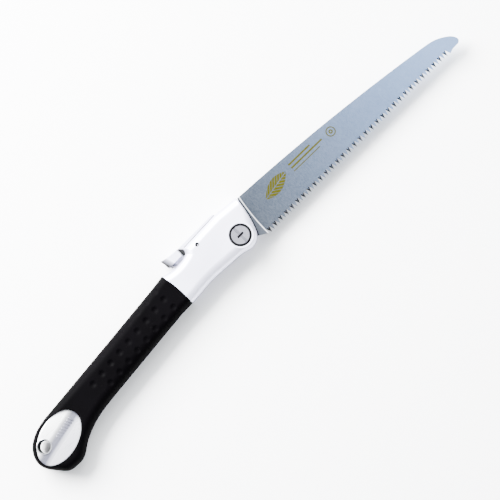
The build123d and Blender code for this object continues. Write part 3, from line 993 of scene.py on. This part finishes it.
def grip_shell(sizes):
    """The grip's outer surface as a closed solid with its dimples."""
    rear = (GRIP_LOW.x - PIVOT.x) / MM + 0.03
    front = FRONT_ARC[1]
    spread = np.concatenate((
        rear + (1 - np.cos(np.linspace(0, math.pi / 2, 26)))[:-1] * 14,
        np.linspace(rear + 14, front - 1.6, 270)[:-1],
        front - 1.6 * (1 - np.linspace(0, 1, 7)) ** 1.5,
    ))
    steady = np.minimum(spread, STRAIGHT_X)
    edges = (cad_edges("grip_sleeve", steady * MM + PIVOT.x) - PIVOT.y) / MM
    slope = (edges[spread < STRAIGHT_X][-1] - edges[spread < STRAIGHT_X - 10][-1]) / (
        spread[spread < STRAIGHT_X][-1] - spread[spread < STRAIGHT_X - 10][-1]
    )
    edges += np.maximum(spread - STRAIGHT_X, 0)[:, None] * slope
    ahead = np.array([-62.0, -50.0, -40.0])
    low_ahead = edges[-1, 0] + (ahead - spread[-1]) * slope[0]
    high_ahead = edges[-1, 1] + (ahead - spread[-1]) * slope[1]
    outline = np.array(
        [*zip(spread, edges[:, 0]), *zip(ahead, low_ahead), *zip(ahead[::-1], high_ahead[::-1]),
         *zip(spread[::-1], edges[::-1, 1])]
    )
    rows = 58
    across = 0.5 - 0.5 * np.cos(np.linspace(0, math.pi, rows))
    plan_x = np.repeat(spread[:, None], rows, axis=1)
    plan_y = edges[:, :1] + (edges[:, 1:] - edges[:, :1]) * across[None, :]
    fade = np.clip((plan_x - (front - FADE_LENGTH)) / FADE_LENGTH, 0, 1) ** 2
    plan_x = plan_x + (front_x(plan_y) - front) * fade
    points = np.stack((plan_x.ravel(), plan_y.ravel()), axis=1)
    gap = distance_to_outline(points, outline)
    gap[np.tile(np.isin(np.arange(rows), (0, rows - 1)), len(spread))] = 0.0

    share = np.clip((front - points[:, 0]) / (front - rear), 0, 1)
    rim_front, rim_middle = sizes.rim_front / MM, sizes.rim_middle / MM
    rim = rim_front + (rim_middle - rim_front) * np.sin(np.clip(share * 1.25, 0, 1) * math.pi)
    bulge = 2.25
    profile = (1 - (1 - np.clip(gap / rim, 0, 1)) ** bulge) ** (1 / bulge)
    height = crown(points[:, 0]) * profile
    lip = 1.3
    from_front = np.clip((front_x(points[:, 1]) - points[:, 0]) / lip, 0, 1)
    height -= lip * (1 - np.sqrt(1 - (1 - from_front) ** 2)) * profile * 0.75

    reach, depth = sizes.dimple_radius / MM, sizes.dimple_depth / MM
    for start, end, count in DIMPLE_ROWS:
        for centre in np.linspace(start, end, count):
            away = np.hypot(*(points - centre).T) / reach
            height -= depth * np.clip(1 - away**2, 0, 1) ** 1.15 * np.clip(gap / 3, 0, 1)
    height = np.maximum(height, 0.0)
    grid = np.stack((points[:, 0] * MM + PIVOT.x, points[:, 1] * MM + PIVOT.y), axis=1)
    shape = (len(spread), rows, 3)
    high = np.column_stack((grid, PIVOT.z + height * MM)).reshape(shape)
    low = np.column_stack((grid, PIVOT.z - height * MM)).reshape(shape)
    bm = bmesh.new()
    ladder_solid(bm, low, high)
    return object_from(bm, "grip_blank")


def tang_outline():
    """Plan outline of the frame's tang, carried forward through the grip's front."""
    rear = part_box("frame_right")[0].x
    spread = np.concatenate((
        rear + (1 - np.cos(np.linspace(0.12, math.pi / 2, 16))) * 12 * MM,
        np.linspace(rear + 16 * MM, PIVOT.x - 68 * MM, 40),
    ))
    edges = cad_edges("frame_right", spread)
    nose = np.array([PIVOT.x - 55 * MM])
    slope = (edges[-1] - edges[-3]) / (spread[-1] - spread[-3])
    ahead = edges[-1] + slope * (nose[0] - spread[-1])
    return [
        *zip(spread, edges[:, 0]), (nose[0], ahead[0]), (nose[0], ahead[1]),
        *zip(spread[::-1], edges[::-1, 1]),
    ]


def ellipse_of(node, tilt, count=96, grow=0.0):
    """Plan outline of an oval CAD node from its box and the tilt of its long axis."""
    low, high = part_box(node)
    centre = (low + high) / 2
    wide, tall = ((high - low) / 2)[:2]
    total, difference = wide**2 + tall**2, (wide**2 - tall**2) / math.cos(2 * tilt)
    radii = math.sqrt((total + difference) / 2) + grow, math.sqrt((total - difference) / 2) + grow
    turns = np.linspace(0, 2 * math.pi, count, endpoint=False)
    u, v = radii[0] * np.cos(turns), radii[1] * np.sin(turns)
    x = centre.x + u * math.cos(tilt) - v * math.sin(tilt)
    y = centre.y + u * math.sin(tilt) + v * math.cos(tilt)
    return list(zip(x, y)), (centre.x, centre.y), radii


def circle_at(centre, radius, count=64):
    """Plan outline of a circle."""
    turns = np.linspace(0, 2 * math.pi, count, endpoint=False)
    return [(centre[0] + radius * math.cos(t), centre[1] + radius * math.sin(t)) for t in turns]


OVAL_TILT = math.radians(15)


class SAW_OT_grip(bpy.types.Operator):
    """Builds the crowned rubber grip with its dimples, tang cavity, blade slot and oval windows"""

    bl_idname = "saw.grip"
    bl_label = "Rubber Grip"

    def execute(self, context):
        grip = grip_shell(context.scene.saw_sizes)
        grip = cut_prism(grip, tang_outline(), -TANG_HALF, TANG_HALF)
        grip = cut_prism(grip, [from_pivot(*corner)[:2] for corner in SLOT_CORNERS], -SLOT_HALF, SLOT_HALF)
        window = ellipse_of("butt_plate_right", OVAL_TILT, grow=0.02 * MM)[0]
        for low, high in ((4.0, 14.0), (-14.0, -4.0)):
            grip = cut_prism(grip, window, low, high)
        finish_piece(
            "rubber_grip", mesh_of(grip), material("grip_rubber"), "frame", ("grip_sleeve",),
            smooth_angle=38,
        )
        return {"FINISHED"}


# ---------------------------------------------------------------- butt plates

BAND_ENDS = ((-230.4, -12.2), (-190.6, -4.1))
BAND_HALF = 3.4
RIB_START = (-211.5, -8.35)
RIB_COUNT = 8
RIB_STEP = 2.45
RIB_REACH = 1.84


def butt_plate(side, sizes):
    """A domed oval plate with a sunk band, drilled for the lanyard tube, as a closed solid."""
    node = "butt_plate_right" if side > 0 else "butt_plate_left"
    centre, radii = ellipse_of(node, OVAL_TILT)[1:]
    low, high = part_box(node)
    top = max(abs(low.z - PIVOT.z), abs(high.z - PIVOT.z)) - 0.01 * MM
    base = min(abs(low.z - PIVOT.z), abs(high.z - PIVOT.z))
    rings, segments = 46, 160
    share = np.sin(np.linspace(0, math.pi / 2, rings + 1))[1:]
    turns = np.linspace(0, 2 * math.pi, segments, endpoint=False)
    u = share[:, None] * radii[0] * np.cos(turns)
    v = share[:, None] * radii[1] * np.sin(turns)
    x = centre[0] + u * math.cos(OVAL_TILT) - v * math.sin(OVAL_TILT)
    y = centre[1] + u * math.sin(OVAL_TILT) + v * math.cos(OVAL_TILT)
    dome = 150 * MM
    height = top - (dome - np.sqrt(dome**2 - (x - centre[0]) ** 2 - (y - centre[1]) ** 2))
    (x0, y0), (x1, y1) = (np.array(from_pivot(*end)[:2]) for end in BAND_ENDS)
    run = math.hypot(x1 - x0, y1 - y0)
    from_band = np.abs(((x - x0) * (y1 - y0) - (y - y0) * (x1 - x0)) / run)
    sunk = np.clip((BAND_HALF * MM - from_band) / (3.4 * MM) + 0.5, 0, 1)
    inner = np.clip((1 - share[:, None]) * radii[1] / (1.4 * MM) - 0.6, 0, 1)
    smooth = sunk * sunk * (3 - 2 * sunk) * inner
    height -= sizes.plate_recess * smooth
    edge = np.clip((1 - share[:, None]) * (radii[0] + radii[1]) / 2 / sizes.plate_edge, 0, 1)
    height -= sizes.plate_edge * 0.8 * (1 - np.sqrt(1 - (1 - edge) ** 2))
    bm = bmesh.new()
    middle_height = 2 * height[0].mean() - height[1].mean()
    middle_top = bm.verts.new((centre[0], centre[1], PIVOT.z + side * middle_height))
    roof = [
        [bm.verts.new((x[r, s], y[r, s], PIVOT.z + side * height[r, s])) for s in range(segments)]
        for r in range(rings)
    ]
    floor = [bm.verts.new((x[-1, s], y[-1, s], PIVOT.z + side * base)) for s in range(segments)]
    for s in range(segments):
        after = (s + 1) % segments
        bm.faces.new((middle_top, roof[0][s], roof[0][after]))
        for r in range(rings - 1):
            bm.faces.new((roof[r][s], roof[r + 1][s], roof[r + 1][after], roof[r][after]))
        bm.faces.new((roof[-1][s], floor[s], floor[after], roof[-1][after]))
    bm.faces.new(floor)
    rim = (TUBE_HIGH.x - TUBE_LOW.x) / 2 + 0.04 * MM
    return mesh_of(cut_prism(object_from(bm, "plate_blank"), circle_at(LANYARD, rim), -14, 14))


def rounded_bar(radii, axis, reach):
    """A small bar with rounded ends, drawn out both ways along one axis; all in millimetres."""
    bm = bmesh.new()
    bmesh.ops.create_uvsphere(bm, u_segments=12, v_segments=8, radius=1.0)
    for vertex in bm.verts:
        along = vertex.co[axis]
        place = [value * radius for value, radius in zip(vertex.co, radii)]
        place[axis] += math.copysign(reach, along) if abs(along) > 0.01 else 0.0
        vertex.co = Vector(place) * MM
    return object_from(bm, "rounded_bar")


class SAW_OT_butt_plates(bpy.types.Operator):
    """Builds the two domed oval plates with a ribbed band"""

    bl_idname = "saw.butt_plates"
    bl_label = "Butt Plates"

    def execute(self, context):
        sizes = context.scene.saw_sizes
        heading = math.atan2(BAND_ENDS[1][1] - BAND_ENDS[0][1], BAND_ENDS[1][0] - BAND_ENDS[0][0])
        step = (RIB_STEP * MM * math.cos(heading), RIB_STEP * MM * math.sin(heading), 0.0)
        for side, node in ((1, "butt_plate_right"), (-1, "butt_plate_left")):
            finish_piece(
                f"{node}_domed", butt_plate(side, sizes), material("plate_metal"), "frame",
                (node,), smooth_angle=30,
            )
            low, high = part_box(node)
            surface = (high.z if side > 0 else low.z) - side * (sizes.plate_recess + 0.32 * MM)
            start = from_pivot(*RIB_START)
            start.z = surface
            rib = rounded_bar((0.62, 0.62, 0.42), 1, RIB_REACH)
            ribs = row_of(rib, RIB_COUNT, start, step, (0.0, 0.0, heading), plain=material("plate_metal"))
            finish_piece(f"{node}_ribs", ribs, None, "frame", smooth_angle=60)
        return {"FINISHED"}


# ---------------------------------------------------------------- metalwork kept from the frame


class SAW_OT_metalwork(bpy.types.Operator):
    """Gives the head, lever, pivot and fasteners their finishes"""

    bl_idname = "saw.metalwork"
    bl_label = "Head, Lever and Pivot"

    def execute(self, context):
        for finish, nodes in CAD_FINISHES.items():
            for node in nodes:
                mesh = frame["nodes"][node].data
                mesh.materials.clear()
                mesh.materials.append(material(finish))
        return {"FINISHED"}


class SAW_OT_spring(bpy.types.Operator):
    """Builds the coil under the thumb pad from the frame's spring"""

    bl_idname = "saw.spring"
    bl_label = "Lever Spring"

    def execute(self, context):
        coil = cad_copy("lever_spring", "lever_spring_coil")
        coil.data.materials.clear()
        coil.data.materials.append(material("spring_wire"))
        coil.data.shade_smooth()
        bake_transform(coil)
        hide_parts("lever_spring")
        return {"FINISHED"}


PAD_RIB_START = (-55.4, 29.15)
PAD_RIB_STEP = (1.75, -0.17)
PAD_RIB_COUNT = 6
PAD_RIB_REACH = 5.8


class SAW_OT_pad_ribs(bpy.types.Operator):
    """Adds the fine ribs across the lever's thumb pad"""

    bl_idname = "saw.pad_ribs"
    bl_label = "Thumb Pad Ribs"

    def execute(self, context):
        rib = rounded_bar((0.5, 0.4, 0.5), 2, PAD_RIB_REACH)
        step = (PAD_RIB_STEP[0] * MM, PAD_RIB_STEP[1] * MM, 0.0)
        ribs = row_of(rib, PAD_RIB_COUNT, from_pivot(*PAD_RIB_START), step, plain=material("cast_alloy"))
        finish_piece("thumb_pad_ribs", ribs, None, "lever", smooth_angle=60)
        return {"FINISHED"}


# ---------------------------------------------------------------- stage

VIEW_ANGLE = math.radians(45.6)  # the saw's long axis above the picture's horizontal
CAMERA_TILT = math.radians(6.5)
CAMERA_DISTANCE = 2.4
VIEW_CENTRE = (-3.2, -12.5)
LENS = 221.5
SKY_LOW = 0.5
SKY_HIGH = 5.0
SKY_CURVE = 2.2
SKY_FRONT = 2.6


def soft_light(name, direction, distance, size, power, tint=(1.0, 1.0, 1.0)):
    """A square soft light that faces the pivot."""
    data = bpy.data.lights.new(name, "AREA")
    data.shape = "RECTANGLE"
    data.size, data.size_y = size
    data.energy = power
    data.color = tint
    light = bpy.data.objects.new(name, data)
    bpy.context.scene.collection.objects.link(light)
    towards = Vector(direction).normalized()
    light.location = PIVOT + towards * distance
    light.rotation_euler = towards.to_track_quat("Z", "Y").to_euler()
    return light


class SAW_OT_stage(bpy.types.Operator):
    """Sets the pale floor, the soft light and the camera"""

    bl_idname = "saw.stage"
    bl_label = "Stage"

    def execute(self, context):
        bm = bmesh.new()
        bmesh.ops.create_grid(bm, x_segments=2, y_segments=2, size=3.0)
        mesh = bpy.data.meshes.new("floor")
        bm.to_mesh(mesh)
        bm.free()
        mesh.transform(Matrix.Translation((0, 0, CAD_BOUNDS[0][2] - 0.1 * MM)))
        mesh.materials.append(material("pale_floor"))
        floor = bpy.data.objects.new("floor", mesh)
        context.scene.collection.objects.link(floor)

        world = bpy.data.worlds.new("studio")
        world.use_nodes = True
        context.scene.world = world
        net = Net(world.node_tree)
        sky = world.node_tree.nodes["Background"]
        around = net.node("ShaderNodeTexCoord").outputs["Generated"]
        heading = net.node("ShaderNodeSeparateXYZ", around).outputs
        towards_back = net.math("POWER", net.spread(heading[1], -0.25, 0.5), SKY_CURVE)
        strength = net.spread(towards_back, 0.0, 1.0, SKY_LOW, SKY_HIGH)
        towards_front = net.spread(heading[1], -0.15, -0.45, 0.0, SKY_FRONT)
        towards_front = net.times(towards_front, net.spread(heading[2], 0.2, 0.45))
        strength = net.plus(strength, towards_front)
        strength = net.times(strength, net.spread(heading[0], -0.85, -0.3, 0.3, 1.0))
        net.put(sky.inputs["Strength"], strength)
        sky.inputs["Color"].default_value = (0.93, 0.96, 1.0, 1.0)
        soft_light("broad_light", (-0.15, 1.0, 0.75), 1.6, (1.5, 1.0), 420.0)
        soft_light("side_light", (1.0, 0.6, 1.1), 1.6, (0.8, 0.8), 20.0)

        camera_data = bpy.data.cameras.new("camera")
        camera_data.lens = LENS
        camera_data.clip_start, camera_data.clip_end = 0.1, 20.0
        camera = bpy.data.objects.new("camera", camera_data)
        context.scene.collection.objects.link(camera)
        back = Vector((0.0, -math.sin(CAMERA_TILT), math.cos(CAMERA_TILT)))
        up = Vector((math.sin(VIEW_ANGLE), math.cos(VIEW_ANGLE), 0.0))
        right = up.cross(back).normalized()
        up = back.cross(right)
        turn = Matrix((right, up, back)).transposed().to_4x4()
        camera.matrix_world = Matrix.Translation(from_pivot(*VIEW_CENTRE) + back * CAMERA_DISTANCE) @ turn
        context.scene.camera = camera
        return {"FINISHED"}


# ---------------------------------------------------------------- panel and registration

STEPS = (
    SAW_OT_metalwork, SAW_OT_blade, SAW_OT_grip, SAW_OT_butt_plates, SAW_OT_pad_ribs, SAW_OT_spring,
    SAW_OT_stage,
)


class SAW_PT_panel(bpy.types.Panel):
    """Lists the saw's pieces and settings"""

    bl_idname = "SAW_PT_panel"
    bl_label = "Folding Pruning Saw"
    bl_space_type = "VIEW_3D"
    bl_region_type = "UI"
    bl_category = "Saw"

    def draw(self, context):
        for step in STEPS:
            self.layout.operator(step.bl_idname)
        for settings in (context.scene.saw_sizes, context.scene.saw_colours):
            column = self.layout.column(align=True)
            for key in settings.bl_rna.properties.keys():
                if key not in ("rna_type", "name"):
                    column.prop(settings, key)


CLASSES = (SawSizes, SawColours, *STEPS, SAW_PT_panel)


def register():
    """Registers the saw's classes and settings."""
    for made in CLASSES:
        bpy.utils.register_class(made)
    bpy.types.Scene.saw_sizes = bpy.props.PointerProperty(type=SawSizes)
    bpy.types.Scene.saw_colours = bpy.props.PointerProperty(type=SawColours)


def unregister():
    """Takes the saw's classes and settings away again."""
    del bpy.types.Scene.saw_colours
    del bpy.types.Scene.saw_sizes
    for made in reversed(CLASSES):
        bpy.utils.unregister_class(made)


def main():
    """Builds the saw and its stage."""
    register()
    bpy.ops.saw.metalwork()
    bpy.ops.saw.blade()
    bpy.ops.saw.grip()
    bpy.ops.saw.butt_plates()
    bpy.ops.saw.pad_ribs()
    bpy.ops.saw.spring()
    bpy.ops.saw.stage()


if __name__ == "__main__":
    main()
